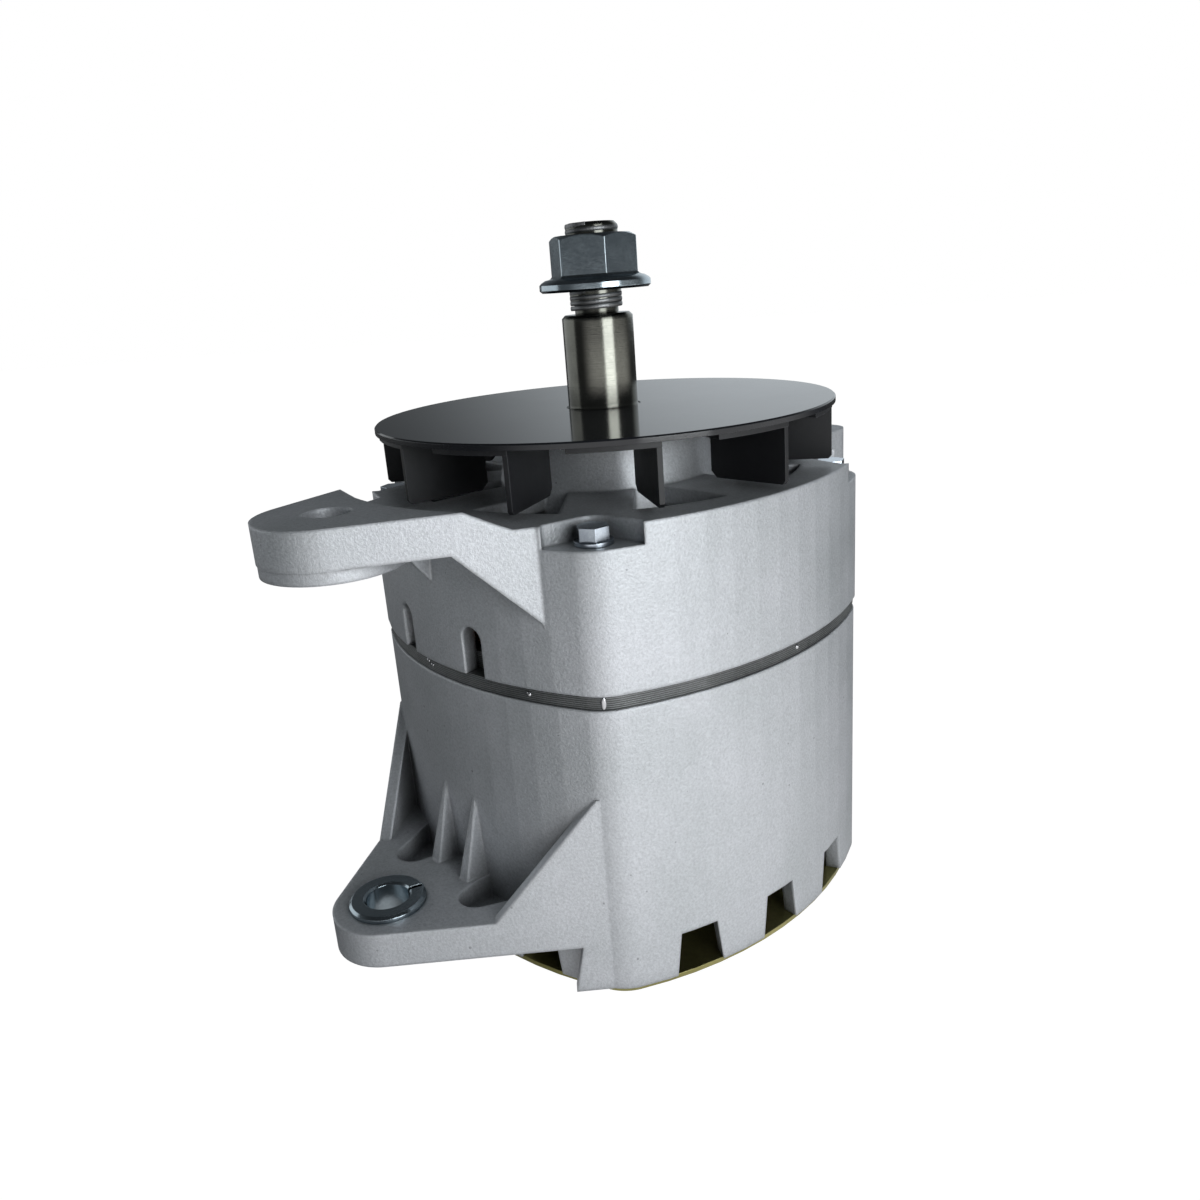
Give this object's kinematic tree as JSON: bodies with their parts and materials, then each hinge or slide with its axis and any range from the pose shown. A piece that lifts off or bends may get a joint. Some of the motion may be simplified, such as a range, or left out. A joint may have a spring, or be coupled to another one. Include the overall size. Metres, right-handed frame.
{
  "type": "engine alternator",
  "caption": "Heavy-duty vehicle alternator with a cast two-part housing, outer fan, hinge ears, adjusting lug, threaded shaft and open rectifier end.",
  "frame": {"origin": "on the shaft axis, in the outer face of the fan disc, where a pulley seats", "axes": "+Z along the shaft out of the drive end; the hinge ears stand at 225 degrees from +X towards +Y, the adjusting lug at 35 degrees, and a lobe faces -Y"},
  "size_m": [0.1748, 0.1707, 0.2207],
  "materials": {
    "cast_aluminium": "sand-grained pressure casting, satin",
    "laminated_steel": "dark laminations, edge on",
    "enamelled_copper": "copper wire under enamel",
    "bright_zinc": "bluish bright zinc plate",
    "yellow_zinc": "yellow chromated zinc plate",
    "blue_zinc": "blue-grey zinc plate",
    "bearing_steel": "ground bearing steel",
    "plain_steel": "plain oiled steel",
    "polished_steel": "turned and polished steel",
    "bare_aluminium": "stamped, bare",
    "insulating_resin": "moulded brown resin",
    "black_plastic": "moulded, matt",
    "white_nylon": "moulded, natural",
    "copper_stud": "bare copper, turned",
    "black_paint": "glossy black paint on pressed steel",
    "brass_cage": "stamped brass",
    "carbon": "pressed carbon"
  },
  "bodies": {
    "housing": {"drive_end_frame": "cast_aluminium", "rear_frame": "cast_aluminium", "stator_core": "laminated_steel", "stator_windings": "enamelled_copper", "through_bolts": "bright_zinc", "cover_screws": "yellow_zinc", "drive_bearing_outer_race": "bearing_steel", "bearing_retainer": "plain_steel", "retainer_screws": "plain_steel", "rear_bearing_outer_race": "bearing_steel", "rear_cover": "yellow_zinc", "rectifier_positive_plate": "bare_aluminium", "rectifier_negative_plate": "bare_aluminium", "rectifier_spacers": "insulating_resin", "rectifier_screws": "plain_steel", "rectifier_diodes": "plain_steel", "phase_leads": "enamelled_copper", "regulator": "black_plastic", "regulator_screws": "plain_steel", "brush_holder": "insulating_resin", "brush_holder_screws": "plain_steel", "capacitor": "bare_aluminium", "output_stud": "copper_stud", "output_insulator": "black_plastic", "output_nut": "bright_zinc", "relay_terminal": "black_plastic", "ground_screw": "bright_zinc", "brush_spring_a": "polished_steel", "brush_spring_b": "polished_steel"},
    "rotor": {"shaft": "polished_steel", "shaft_nut": "blue_zinc", "fan_disc": "black_paint", "fan_blades": "black_paint", "fan_collar": "plain_steel", "drive_bearing_inner_race": "bearing_steel", "claw_pole_front": "plain_steel", "claw_pole_rear": "plain_steel", "field_bobbin": "white_nylon", "field_coil": "enamelled_copper", "slip_ring_hub": "insulating_resin", "slip_rings": "copper_stud", "rear_bearing_inner_race": "bearing_steel"},
    "drive_cage": {"drive_bearing_balls": "polished_steel", "drive_bearing_cage": "brass_cage"},
    "rear_cage": {"rear_bearing_balls": "polished_steel", "rear_bearing_cage": "brass_cage"},
    "brush_a": {"brush_a": "carbon"},
    "brush_b": {"brush_b": "carbon"},
    "adjusting_bush": {"adjusting_bush": "blue_zinc"}
  },
  "joints": [
    {"name": "rotor_spin", "type": "hinge", "parent": "housing", "child": "rotor", "pos_m": [0, 0, 0], "axis": [0, 0, 1], "continuous": true},
    {"name": "drive_cage_spin", "type": "hinge", "parent": "housing", "child": "drive_cage", "pos_m": [0, 0, -0.0235], "axis": [0, 0, 1], "continuous": true},
    {"name": "rear_cage_spin", "type": "hinge", "parent": "housing", "child": "rear_cage", "pos_m": [0, 0, -0.1453], "axis": [0, 0, 1], "continuous": true},
    {"name": "brush_a_slide", "type": "slide", "parent": "housing", "child": "brush_a", "axis": [0.7071, -0.7071, 0], "range_m": [0, 0.006], "stiffness_N_per_m": 900, "springref_m": -0.004, "deforming": ["brush_spring_a"]},
    {"name": "brush_b_slide", "type": "slide", "parent": "housing", "child": "brush_b", "axis": [0.7071, -0.7071, 0], "range_m": [0, 0.006], "stiffness_N_per_m": 900, "springref_m": -0.004, "deforming": ["brush_spring_b"]},
    {"name": "bush_slide", "type": "slide", "parent": "housing", "child": "adjusting_bush", "axis": [0, 0, 1], "range_m": [-0.002, 0.003]}
  ],
  "couplings": [
    {"joint": "drive_cage_spin", "follows": "rotor_spin", "ratio": 0.4018},
    {"joint": "rear_cage_spin", "follows": "rotor_spin", "ratio": 0.387}
  ]
}
